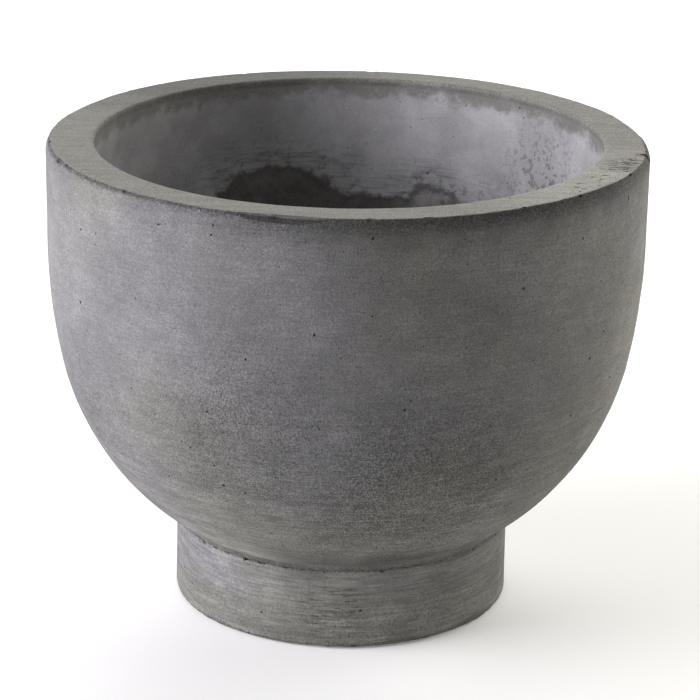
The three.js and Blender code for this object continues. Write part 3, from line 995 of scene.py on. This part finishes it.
BORE_AROUND = boring_tree()
DOWEL_COUNT = 4
HOLE_RADIUS = (dowel_high.y - dowel_low.y) / 2 + SEAT_GAP
BORE_OVERRUN = 1 * MM
dowel_holes = {"Count": DOWEL_COUNT, "Hole radius": HOLE_RADIUS}
dowel_holes.update({"Circle radius": FOOT_MIDDLE_RADIUS, "Top": dowel_high.z + SEAT_GAP})
dowel_holes["Bottom"] = SHOULDER_Z - BORE_OVERRUN
bowl_bored = run_tree(BORE_AROUND, "bowl_bored", bowl_turned, dowel_holes)
measure(bowl_bored)

# %% [markdown]
# ## Air holes and chips
#
# Air holes are scattered by `Distribute Points on Faces`, more of them where the surface is
# marked as bubbly, and no two so close that they merge. Each is a small lumpy ball, cut from the
# casting. Chips are cut in the same way by larger, flatter stones at chosen places on the edges.
# Real cuts give real shadows from every side, which a bump can't. The faces that a cut leaves
# are marked with how much painted shade the finish gives them, and every other mark is read
# again from the whole casting, because a cut knows nothing of it.

# %% Tree: break the surface
# How much painted shade the faces of cut chips and air holes get.
CHIP_SHADE = 0.58
HOLE_SHADE = 1.0


def random_value(tree, low, high, seed, kind="FLOAT"):
    """A different value for each instance, between low and high."""
    made = node(tree, "FunctionNodeRandomValue", {"Seed": seed}, data_type=kind)
    for name, value in (("Min", low), ("Max", high)):
        fill(tree, next(s for s in made.inputs if s.name == name and s.enabled), value)
    return next(s for s in made.outputs if s.enabled)


def stone(tree, fineness):
    return output(tree, "GeometryNodeMeshIcoSphere", {"Radius": 1.0, "Subdivisions": fineness})


def lumpy(tree, balls, per_metre, size, share):
    """Pushes the points of each ball in and out by a share of its size."""
    place = output(tree, "GeometryNodeInputPosition")
    normal = output(tree, "GeometryNodeInputNormal")
    push = either_way(tree, noise(tree, place, per_metre, 2), times(tree, size, share))
    offset = vector_maths(tree, "SCALE", normal, push)
    return output(tree, "GeometryNodeSetPosition", {0: balls, "Offset": offset})


def stored(tree, geometry, name, value, domain):
    """Writes a mark on the points or the faces of a geometry."""
    inputs = {"Geometry": geometry, "Name": name, "Value": value}
    settings = {"data_type": "FLOAT", "domain": domain}
    return output(tree, "GeometryNodeStoreNamedAttribute", inputs, **settings)


def cut_away(tree, casting, stones, broken):
    """Cuts stones from a casting. The faces of the cut are marked with how much painted shade they
    get.
    """
    return cut_from(tree, casting, stored(tree, stones, "broken", broken, "FACE"))


def marks_again(tree, cut, whole):
    """Every mark on the cut casting is what the nearest point of the whole one carries."""
    for mark in MARKS:
        inputs = {"Mesh": whole, "Value": carried(tree, mark)}
        sampled = output(tree, "GeometryNodeSampleNearestSurface", inputs, data_type="FLOAT")
        cut = stored(tree, cut, mark, sampled, "POINT")
    return cut


def breaking_tree():
    sizes = ("Holes per square metre", "Hole spacing", "Smallest hole", "Largest hole")
    inputs = {"Seed": int, **{size: float for size in sizes}}
    inputs.update({"Chips": "NodeSocketObject", "Finish": "NodeSocketMaterial"})
    tree, given, result = new_tree("break_surface", inputs)
    whole, smallest = given["Geometry"], given["Smallest hole"]

    chip_places = node(tree, "GeometryNodeObjectInfo", {"Object": given["Chips"]})
    euler = carried(tree, "turn", "FLOAT_VECTOR")
    setting = {"Rotation": output(tree, "FunctionNodeEulerToRotation", {0: euler})}
    setting["Scale"] = carried(tree, "size", "FLOAT_VECTOR")
    stones = set_out(tree, chip_places.outputs["Geometry"], stone(tree, 3), **setting)
    stones = lumpy(tree, stones, 260, 1.0 * MM, 0.9)
    chipped = cut_away(tree, whole, stones, CHIP_SHADE)

    scatter = {"Mesh": whole, "Distance Min": given["Hole spacing"], "Seed": given["Seed"]}
    scatter["Density Max"] = given["Holes per square metre"]
    scatter["Density Factor"] = carried(tree, "bubbly")
    kind = "GeometryNodeDistributePointsOnFaces"
    points = output(tree, kind, scatter, distribute_method="POISSON")
    share = maths(tree, "POWER", random_value(tree, 0.0, 1.0, 11), 3.0)
    spread = maths(tree, "SUBTRACT", given["Largest hole"], smallest)
    radius = times_plus(tree, share, spread, smallest)
    squash = random_value(tree, (0.75, 0.75, 0.75), (1.3, 1.3, 1.3), 12, "FLOAT_VECTOR")
    setting = {"Scale": vector_maths(tree, "SCALE", squash, radius)}
    full_turn = (math.tau, math.tau, math.tau)
    setting["Rotation"] = random_value(tree, (0, 0, 0), full_turn, 13, "FLOAT_VECTOR")
    balls = set_out(tree, points, stone(tree, 2), **setting)
    balls = lumpy(tree, balls, 1100, smallest, 0.5)
    opened = cut_away(tree, chipped, balls, HOLE_SHADE)

    dressed = marks_again(tree, opened, whole)
    smooth = output(tree, "GeometryNodeSetShadeSmooth", {0: dressed, "Shade Smooth": True})
    finish = {0: smooth, "Material": given["Finish"]}
    tree.links.new(output(tree, "GeometryNodeSetMaterial", finish), result)
    return tree


BREAK_SURFACE = breaking_tree()

# %% Chips, at their places
def around(angle, radius, height):
    """A place on the planter. The angle is from the front, and grows to the viewer's right."""
    return Vector((radius * math.sin(angle), -radius * math.cos(angle), height))


def chip(degrees, radius, height, size, tilt=0.0, spin=0.0):
    """A stone of that half size: outwards, along the edge, and upwards."""
    angle = math.radians(degrees)
    turn = (math.radians(spin), math.radians(tilt), angle - math.pi / 2)
    return around(angle, radius, height), size, turn


def chip_mesh(name, chips):
    mesh = bpy.data.meshes.new(name)
    places, sizes, turns = zip(*chips)
    mesh.from_pydata(places, [], [])
    for label, vectors in (("size", sizes), ("turn", turns)):
        values = mesh.attributes.new(label, "FLOAT_VECTOR", "POINT")
        values.data.foreach_set("vector", [value for vector in vectors for value in vector])
    return placed(name, mesh)


# %% Chips of the bowl
RIM_CORNER_RADIUS = RIM_RADIUS - ARRIS_WIDTH
pick = random.Random(41)
bowl_chips = [
    chip(80, RIM_RADIUS - 1.2 * MM, RIM_TOP - 0.8 * MM, (5.6 * MM, 2.8 * MM, 4.6 * MM), 25, 22),
    chip(-69, RIM_RADIUS - 1.5 * MM, RIM_TOP - 0.5 * MM, (1.8 * MM, 4.5 * MM, 1.8 * MM), 35),
    chip(-11, RIM_CORNER_RADIUS - 0.4 * MM, RIM_TOP - 0.4 * MM, (5 * MM, 34 * MM, 1.6 * MM), 45),
    chip(-34.5, RIM_RADIUS, RIM_TOP - 15 * MM, (0.8 * MM, 1.8 * MM, 0.5 * MM), 0, 12),
    chip(63.0, RIM_RADIUS, RIM_TOP - 13.5 * MM, (0.7 * MM, 0.5 * MM, 1.5 * MM), 0, 8),
    chip(62.9, RIM_RADIUS, RIM_TOP - 16.3 * MM, (0.6 * MM, 0.45 * MM, 1.2 * MM), 0, -10),
    chip(62.5, RIM_RADIUS, RIM_TOP - 18.7 * MM, (0.7 * MM, 0.6 * MM, 0.8 * MM)),
]


def any_mm(low, high):
    return pick.uniform(low, high) * MM


def any_size(*limits):
    return [any_mm(low, high) for low, high in limits]


def torn_fold(degrees, radius, length, width):
    """A shallow furrow in the flat rim. Furrows lie the way that the grinding went, along X."""
    angle = math.radians(degrees)
    turn = (0, math.radians(pick.uniform(-6, 6)), math.radians(pick.uniform(-16, 12)))
    return around(angle, radius, RIM_TOP + 0.1 * MM), (length, width, any_mm(0.35, 0.75)), turn


# The torn skin on the rim's right: a crowd of short folds, and fewer of them further forwards.
# A crowd is a number, a middle and a spread in degrees, and the limits of three sizes in mm.
FOLD_CROWDS = [(32, 71, 4.5, (5, 16), (1.4, 5.2), (0.35, 0.8))]
FOLD_CROWDS.append((10, 54, 5, (6, 20), (1.0, 3.0), (0.3, 0.55)))
for count, middle, spread, inwards, lengths, widths in FOLD_CROWDS:
    for i in range(count):
        degrees = middle + pick.gauss(0, spread)
        radius = RIM_RADIUS - any_mm(*inwards)
        bowl_chips.append(torn_fold(degrees, radius, any_mm(*lengths), any_mm(*widths)))
# Small flat bites along the crisp outer edge of the rim.
for i in range(23):
    degrees = i * 15.6 + pick.uniform(-5, 5)
    size = any_size((0.7, 1.5), (1.0, 3.6), (0.4, 0.9))
    height = RIM_TOP - any_mm(0.0, 0.8)
    bowl_chips.append(chip(degrees, RIM_CORNER_RADIUS, height, size, 30, pick.uniform(-20, 20)))

bowl_chip_places = chip_mesh("bowl_chips", bowl_chips)
breaks = {"Holes per square metre": 1500.0, "Hole spacing": 5.0 * MM, "Seed": 5}
breaks.update({"Smallest hole": 0.34 * MM, "Largest hole": 0.95 * MM})
bowl_breaks = {**breaks, "Chips": bowl_chip_places, "Finish": BOWL_CONCRETE}
bowl_mesh = run_tree(BREAK_SURFACE, "bowl_cast", bowl_bored, bowl_breaks)
measure(bowl_mesh)

# %% [markdown]
# ## From mesh to piece
#
# A finished mesh becomes an object at the origin. Edges that turn by more than a set angle stay
# sharp, so that a hole's mouth isn't smoothed into the wall around it.

# %% Make a piece
SHARP_ANGLE = math.radians(32)


def give_finish(mesh, finish):
    mesh.materials.clear()
    mesh.materials.append(finish)


def piece(name, mesh, body, nodes):
    mesh.name = name
    mesh.set_sharp_from_angle(angle=SHARP_ANGLE)
    made = placed(name, mesh)
    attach(made, body)
    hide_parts(*nodes)


piece("bowl_casting", bowl_mesh, "planter", ["bowl"])
bpy.data.objects.remove(bowl_chip_places)

# %% [markdown]
# ## Foot
#
# A plain ring, with a worn lower arris and small bites along the upper edge, where the mortar
# line runs. Its underside has round recesses for the pads, between the dowels.

# %% Foot
FOOT_LOW_CORNER = Vector((FOOT_BOTTOM_RADIUS, foot_low.z))
FOOT_HIGH_CORNER = Vector((FOOT_TOP_RADIUS, foot_high.z))


def foot_marks(point):
    worn = max(near(point, FOOT_LOW_CORNER, 5 * MM), 0.9 * near(point, FOOT_HIGH_CORNER, 3.5 * MM))
    return {"wander": 1.0, "worn": worn, "bubbly": 0.6 * (1 - worn)}


def foot_outline():
    arris_centre = FOOT_LOW_CORNER + Vector((-FOOT_ARRIS_RADIUS, FOOT_ARRIS_RADIUS))
    underside = line(
        Vector((FOOT_INNER_RADIUS, foot_low.z)),
        Vector((FOOT_BOTTOM_RADIUS - FOOT_ARRIS_RADIUS, foot_low.z)),
        7 * MM,
    )
    side_low = Vector((FOOT_BOTTOM_RADIUS, foot_low.z + FOOT_ARRIS_RADIUS))
    top = line(FOOT_HIGH_CORNER, Vector((FOOT_INNER_RADIUS, foot_high.z)), 7 * MM)
    hollow = line(Vector((FOOT_INNER_RADIUS, foot_high.z)), underside[0], 7 * MM)
    return [
        (underside, hidden_marks),
        (arc(arris_centre, FOOT_ARRIS_RADIUS, -math.pi / 2, 0, ARRIS_ROW), foot_marks),
        (line(side_low, FOOT_HIGH_CORNER, 2.4 * MM), foot_marks),
        (top, hidden_marks),
        (hollow, hidden_marks),
    ]


foot_values = {"Steps around": 300, "Ring radius": FOOT_BOTTOM_RADIUS, "Seed": 8.0}
foot_values.update({"Broad wander": 0.5 * MM, "Fine wander": 0.2 * MM})
foot_values["Crumbling"] = 0.6 * MM
foot_turned = turned_casting("foot", foot_outline(), foot_values)

foot_dowel_holes = {**dowel_holes, "Bottom": dowel_low.z - SEAT_GAP}
foot_dowel_holes["Top"] = foot_high.z + BORE_OVERRUN
foot_bored = run_tree(BORE_AROUND, "foot_bored", foot_turned, foot_dowel_holes)
PAD_COUNT = 4
pad_radius = (pad_high.x - pad_low.x) / 2
recesses = {"Count": PAD_COUNT, "Hole radius": pad_radius + SEAT_GAP, "Turn": math.pi / PAD_COUNT}
recesses.update({"Circle radius": FOOT_MIDDLE_RADIUS, "Bottom": foot_low.z - BORE_OVERRUN})
recesses["Top"] = pad_high.z + SEAT_GAP
foot_bored = run_tree(BORE_AROUND, "foot_bored", foot_bored, recesses)

pick = random.Random(57)
foot_chips = []
for i in range(22):
    degrees = i * 16.4 + pick.uniform(-6, 6)
    size = any_size((0.4, 0.9), (0.8, 2.4), (1.2, 2.6))
    place = (degrees, FOOT_TOP_RADIUS, foot_high.z - 0.2 * MM)
    foot_chips.append(chip(*place, size, 0, pick.uniform(-20, 20)))
for i in range(24):
    degrees = i * 15 + pick.uniform(-5, 5)
    size = any_size((0.6, 1.4), (1.2, 3.0), (0.6, 1.3))
    place = (degrees, FOOT_BOTTOM_RADIUS - 0.2 * MM, foot_low.z + 1.0 * MM)
    foot_chips.append(chip(*place, size, -40))
# Larger bites at the left of the front, where the corner broke as the mould came off.
for degrees in (-47, -41, -33, -27, -18):
    size = any_size((0.8, 1.2), (1.6, 3.2), (1.2, 1.8))
    place = (degrees, FOOT_TOP_RADIUS, foot_high.z)
    foot_chips.append(chip(*place, size, 20, pick.uniform(-15, 15)))
foot_chip_places = chip_mesh("foot_chips", foot_chips)
foot_breaks = {**breaks, "Chips": foot_chip_places, "Finish": FOOT_CONCRETE, "Seed": 9}
foot_mesh = run_tree(BREAK_SURFACE, "foot_cast", foot_bored, foot_breaks)
measure(foot_mesh)
piece("foot_casting", foot_mesh, "planter", ["foot"])
bpy.data.objects.remove(foot_chip_places)

# %% [markdown]
# ## Mortar bed
#
# The bed is squeezed between the castings, and what comes out is smeared into the corner with a
# finger. The smear is thin and uneven, so it comes and goes along the line: its outline is turned
# with more wander than a casting's, and sinks into the two castings where it has none to spare.

# %% Mortar bed
# The smeared face, in millimetres outwards and upwards from the corner of the two castings.
SMEAR = [(-0.4, -2.8), (-0.05, -1.8), (0.15, -1.0), (0.4, -0.3), (0.95, 0.45), (1.7, 1.2)]
SMEAR.append((2.4, 2.1))


def mortar_marks(point):
    outer = point.x > FOOT_EDGE.x - 0.5 * MM
    return {"wander": 1.0 if outer else 0.0, "worn": 0.6 if outer else 0.0}


def mortar_outline():
    inner_low = Vector((SPIGOT_RADIUS + SEAT_GAP, bed_low.z))
    inner_high = Vector((SPIGOT_RADIUS + SEAT_GAP, bed_high.z))
    knee_low = Vector((FOOT_EDGE.x - 1.2 * MM, bed_low.z))
    knee_high = Vector((FOOT_EDGE.x - 1.0 * MM, bed_high.z))
    points = [knee_low, *(FOOT_EDGE + Vector(step) * MM for step in SMEAR), knee_high]
    return [([inner_low], mortar_marks), (points, mortar_marks), ([inner_high], mortar_marks)]


mortar_values = {"Steps around": 420, "Ring radius": FOOT_BOTTOM_RADIUS, "Seed": 4.0}
mortar_values.update({"Broad wander": 0.25 * MM, "Fine wander": 0.2 * MM})
mortar_values["Crumbling"] = 0.5 * MM
mortar_turned = turned_casting("mortar", mortar_outline(), mortar_values)
bed_holes = {**dowel_holes, "Bottom": bed_low.z - BORE_OVERRUN, "Top": bed_high.z + BORE_OVERRUN}
mortar_mesh = run_tree(BORE_AROUND, "mortar_bored", mortar_turned, bed_holes)
measure(mortar_mesh)
give_finish(mortar_mesh, MORTAR)
mortar_mesh.shade_smooth()
piece("mortar_bead", mortar_mesh, "planter", ["mortar_bed"])

# %% [markdown]
# ## Drain sleeve, stopper and pads
#
# Moulded pieces have small even radii at every corner. Their outlines are turned with bmesh,
# with no wander at all, and rounded by a Bevel modifier, which is applied before the mesh
# becomes a piece.

# %% Small turned pieces
ROUNDING_STEPS = 3
ROUNDED_FROM_ANGLE = math.radians(30)


def rounded(mesh, width):
    """Rounds every sharp edge of a mesh, as a mould does."""
    holder = placed(mesh.name, mesh)
    bevel = holder.modifiers.new("rounding", "BEVEL")
    bevel.width = width
    bevel.segments = ROUNDING_STEPS
    bevel.limit_method = "ANGLE"
    bevel.angle_limit = ROUNDED_FROM_ANGLE
    return applied(holder, mesh.name)


def ring_of_corners(solid, radius, height, steps):
    """A ring of new corners, or a single one on the axis."""
    if radius < 1e-6:
        return [solid.verts.new((0, 0, height))]
    angles = [math.tau * i / steps for i in range(steps)]
    return [solid.verts.new((radius * math.cos(a), radius * math.sin(a), height)) for a in angles]


def turned_solid(name, points, steps, finish, width):
    """A small piece from the corners of its outline, up its outer side. It may start and end
    on the axis, where its ends are closed."""
    solid = bmesh.new()
    rings = [ring_of_corners(solid, *point, steps) for point in points]
    pairs = list(zip(rings, rings[1:]))
    if len(rings[0]) > 1:
        pairs.append((rings[-1], rings[0]))
    for lower, upper in pairs:
        for i in range(steps):
            j = (i + 1) % steps
            low_corners = [lower[i % len(lower)], lower[j % len(lower)]]
            high_corners = [upper[j % len(upper)], upper[i % len(upper)]]
            solid.faces.new(list(dict.fromkeys(low_corners + high_corners)))
    bmesh.ops.recalc_face_normals(solid, faces=solid.faces)
    mesh = bpy.data.meshes.new(name)
    solid.to_mesh(mesh)
    solid.free()
    mesh = rounded(mesh, width)
    give_finish(mesh, finish)
    mesh.shade_smooth()
    measure(mesh)
    return mesh


# %% Drain sleeve
SLEEVE_BORE = 13 * MM
SLEEVE_OUTSIDE = 16 * MM
flange_low = sleeve_high.z - 2 * MM
sleeve_points = [
    (SLEEVE_BORE, sleeve_low.z),
    (SLEEVE_OUTSIDE, sleeve_low.z),
    (SLEEVE_OUTSIDE, flange_low),
    (sleeve_high.x, flange_low),
    (sleeve_high.x, sleeve_high.z),
    (SLEEVE_BORE + 2 * MM, sleeve_high.z),
    (SLEEVE_BORE, sleeve_high.z - 1 * MM),
]
sleeve_mesh = turned_solid("drain_sleeve_moulding", sleeve_points, 96, SLEEVE_PLASTIC, 0.4 * MM)
piece("drain_sleeve_moulding", sleeve_mesh, "planter", ["drain_sleeve"])

# %% Stopper
STEM_RADIUS = 11.4 * MM
RIB_RADIUS = 12.6 * MM
RIB_HALF_WIDTH = 1.2 * MM
RIB_COUNT = 3
RIB_CORNERS = [(STEM_RADIUS, -1), (RIB_RADIUS, -0.5), (RIB_RADIUS, 0.5), (STEM_RADIUS, 1)]
STEM_LENGTH = 15 * MM
NECK_RADIUS = 5 * MM
KNOB_RADIUS = 9 * MM
KNOB_HEIGHT = 12 * MM
KNOB_STEPS = 14
plug_flange_low = plug_low.z + STEM_LENGTH
plug_flange_high = plug_flange_low + 3 * MM
knob_middle = plug_high.z - KNOB_HEIGHT / 2

plug_points = [(0, plug_low.z), (STEM_RADIUS - 1.2 * MM, plug_low.z)]
for i in range(RIB_COUNT):
    middle = plug_low.z + STEM_LENGTH * (i + 0.5) / RIB_COUNT
    for radius, share in RIB_CORNERS:
        plug_points.append((radius, middle + RIB_HALF_WIDTH * share))
plug_points += [(STEM_RADIUS, plug_flange_low), (plug_high.x, plug_flange_low)]
plug_points += [(plug_high.x, plug_flange_high), (NECK_RADIUS, plug_flange_high)]
knob_start = -math.acos(NECK_RADIUS / KNOB_RADIUS)
for i in range(KNOB_STEPS + 1):
    angle = knob_start + (math.pi / 2 - knob_start) * i / KNOB_STEPS
    radius = KNOB_RADIUS * math.cos(angle) if i < KNOB_STEPS else 0
    plug_points.append((radius, knob_middle + KNOB_HEIGHT / 2 * math.sin(angle)))
plug_mesh = turned_solid("drain_stopper", plug_points, 96, STOPPER_RUBBER, 0.35 * MM)
piece("drain_stopper", plug_mesh, "stopper", ["drain_plug"])

# %% Floor pads
pad_points = [(0, 0), (pad_radius * 0.45, 0), (pad_radius * 0.52, 0.5 * MM)]
pad_points += [(pad_radius * 0.66, 0.5 * MM), (pad_radius * 0.73, 0), (pad_radius, 0)]
pad_points += [(pad_radius, pad_high.z), (0, pad_high.z)]
pad_mesh = turned_solid("floor_pad", pad_points, 64, PAD_RUBBER, 0.3 * MM)


def setting_out_tree():
    """Copies a piece modelled on the axis to places around a circle."""
    inputs = {"Count": int, "Circle radius": float, "Turn": float, "Finish": "NodeSocketMaterial"}
    tree, given, result = new_tree("set_out_around", inputs)
    copies = set_out(tree, circle_of_points(tree, given), given["Geometry"])
    finish = {0: copies, "Material": given["Finish"]}
    tree.links.new(output(tree, "GeometryNodeSetMaterial", finish), result)
    return tree


pad_places = {"Count": PAD_COUNT, "Circle radius": FOOT_MIDDLE_RADIUS, "Turn": math.pi / PAD_COUNT}
pad_places["Finish"] = PAD_RUBBER
pads_mesh = run_tree(setting_out_tree(), "floor_pads", pad_mesh, pad_places)
pads_mesh.shade_smooth()
pad_nodes = [f"floor_pad_{i + 1}" for i in range(PAD_COUNT)]
piece("floor_pads", pads_mesh, "planter", pad_nodes)

# %% Dowels keep their own solids
for i in range(DOWEL_COUNT):
    give_finish(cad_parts[f"dowel_{i + 1}"].data, DOWEL_STEEL)

# %% [markdown]
# ## Floor and light
#
# The planter stands on a plain pale floor that glows faintly. A large soft light stands on the
# left, as a window would, a wide one behind the planter lights the rim and the inside, and weak
# ones on the right keep the dark side from closing up.

# %% Floor
HALF_FLOOR = 7
FLOOR_COLOUR = (0.95, 0.95, 0.95, 1)
FLOOR_GLOW = 0.16

corners = [(x * HALF_FLOOR, y * HALF_FLOOR, 0) for x, y in ((-1, -1), (1, -1), (1, 1), (-1, 1))]
floor_mesh = bpy.data.meshes.new("floor")
floor_mesh.from_pydata(corners, [], [(0, 1, 2, 3)])
floor_finish, _, floor_surface, _ = new_finish("floor")
floor_surface.inputs["Base Color"].default_value = FLOOR_COLOUR
floor_surface.inputs["Roughness"].default_value = 1.0
floor_surface.inputs["Emission Color"].default_value = (1, 1, 1, 1)
floor_surface.inputs["Emission Strength"].default_value = FLOOR_GLOW
floor_mesh.materials.append(floor_finish)
floor = placed("floor", floor_mesh)

# %% Lights
LIGHT_TARGET = Vector((0, 0, 0.18))
WORLD_COLOUR = (0.9, 0.9, 0.9, 1)
WORLD_STRENGTH = 0.02
# Name, degrees around and up, distance, width, height, watts and colour.
LIGHTS = [
    ("window", -75, 20, 1.7, 1.1, 1.1, 43, (0.985, 0.962, 1.0)),
    ("behind", 180, 29, 2.4, 2.16, 1.68, 41.8, (1.0, 0.985, 0.94)),
    ("right", 110, 24, 1.8, 1.0, 1.3, 9, (1.0, 0.975, 0.89)),
    ("right_back", 138, 14, 1.8, 0.9, 0.9, 11, (1.0, 0.985, 0.93)),
    ("right_near", 75, 40, 0.9, 0.5, 0.5, 1.4, (1.0, 0.975, 0.90)),
]


def soft_light(name, degrees, up_degrees, distance, width, height, watts, colour):
    """A rectangular light aimed at the bowl. Degrees are from the front, to the right."""
    data = bpy.data.lights.new(name, "AREA")
    data.shape = "RECTANGLE"
    data.size = width
    data.size_y = height
    data.energy = watts
    data.color = colour
    light = placed(name, data)
    up = math.radians(up_degrees)
    level = around(math.radians(degrees), math.cos(up), math.sin(up))
    light.location = LIGHT_TARGET + level * distance
    light.rotation_euler = (-level).to_track_quat("-Z", "Y").to_euler()


for light in LIGHTS:
    soft_light(*light)

world = bpy.data.worlds.new("studio")
bpy.context.scene.world = world
world.use_nodes = True
background = world.node_tree.nodes["Background"].inputs
background["Color"].default_value = WORLD_COLOUR
background["Strength"].default_value = WORLD_STRENGTH
